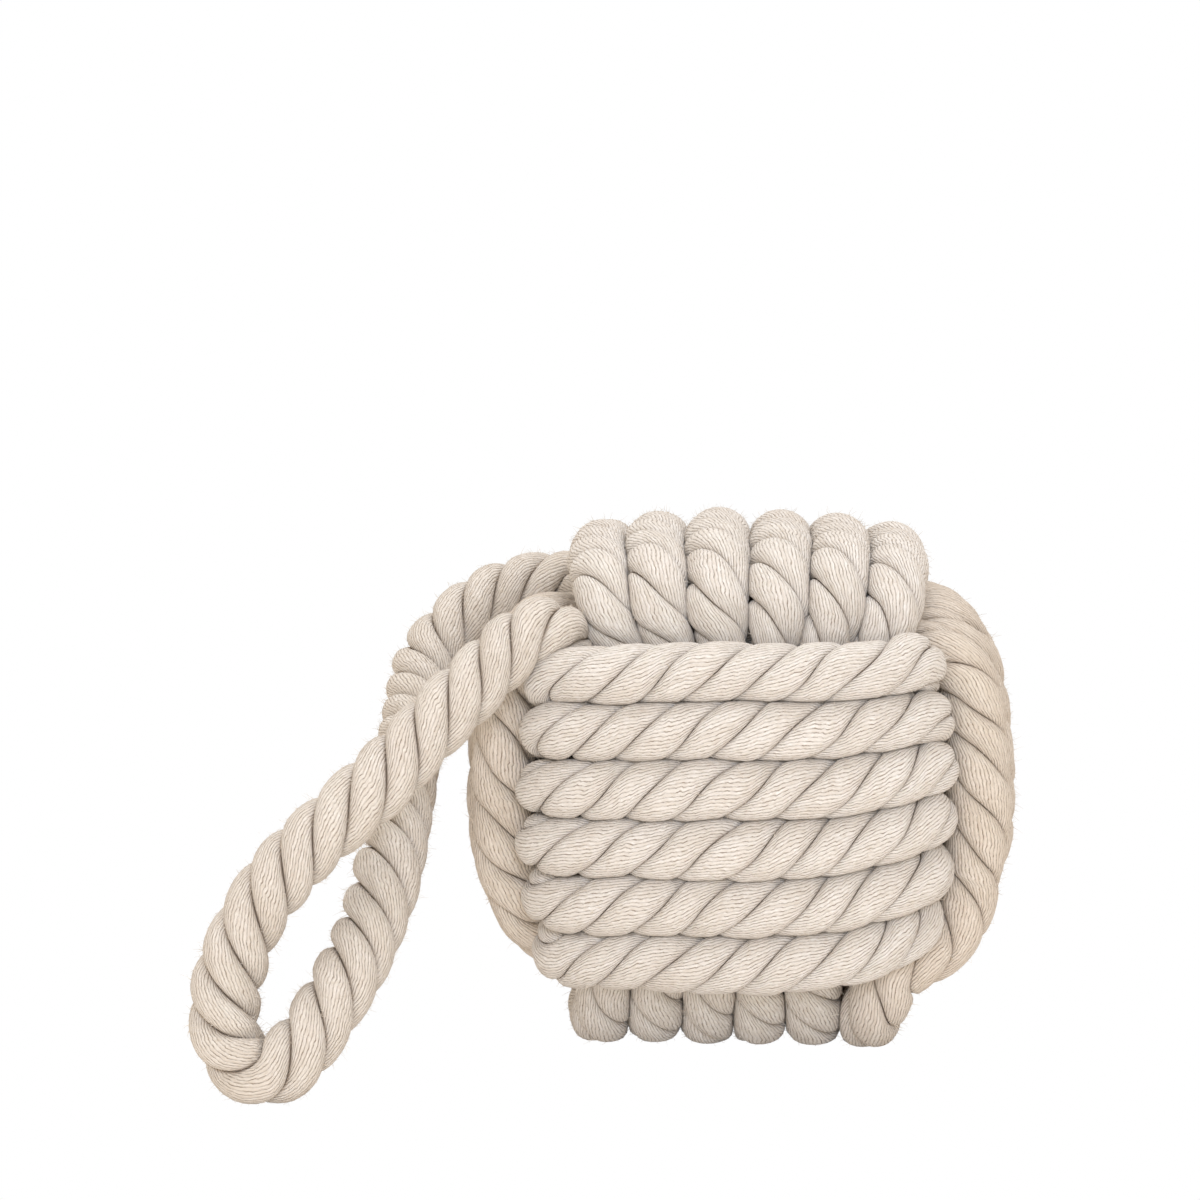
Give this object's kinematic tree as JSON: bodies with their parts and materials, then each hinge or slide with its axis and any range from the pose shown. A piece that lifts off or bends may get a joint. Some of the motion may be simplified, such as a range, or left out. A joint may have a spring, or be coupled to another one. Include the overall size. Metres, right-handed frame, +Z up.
{
  "type": "rope knot doorstop",
  "caption": "Doorstop: a monkey's fist knot of thick three-strand cotton rope tied round a sand bag, with a loop of the same rope as a carrying handle.",
  "frame": {"origin": "on the floor, under the middle of the knot", "axes": "+Z up, -Y towards the viewer of the picture, -X towards the side that the handle hangs down; the knot's faces are square to the axes"},
  "size_m": [0.2129, 0.1806, 0.1386],
  "materials": {
    "cotton_rope": "matt, natural undyed cotton",
    "calico": "matt, unbleached",
    "sand": "matt, dry grains",
    "waxed_twine": "dull wax"
  },
  "bodies": {
    "knot": {"winding_front_back": "cotton_rope", "winding_sides": "cotton_rope", "winding_top_bottom": "cotton_rope", "start_whipping": "waxed_twine", "tail_whipping": "waxed_twine", "handle_root_front": "cotton_rope", "handle_root_rear": "cotton_rope", "handle_whipping_front": "waxed_twine", "handle_whipping_rear": "waxed_twine", "ballast_sand": "sand", "ballast_bag": "calico", "bag_tie": "waxed_twine"},
    "handle": {"handle_loop": "cotton_rope"}
  },
  "joints": [
    {"name": "handle_swing", "type": "hinge", "parent": "knot", "child": "handle", "pos_m": [-0.049, -0.048, 0.1148], "axis": [0, 1, 0], "range_deg": [0, 95]}
  ]
}
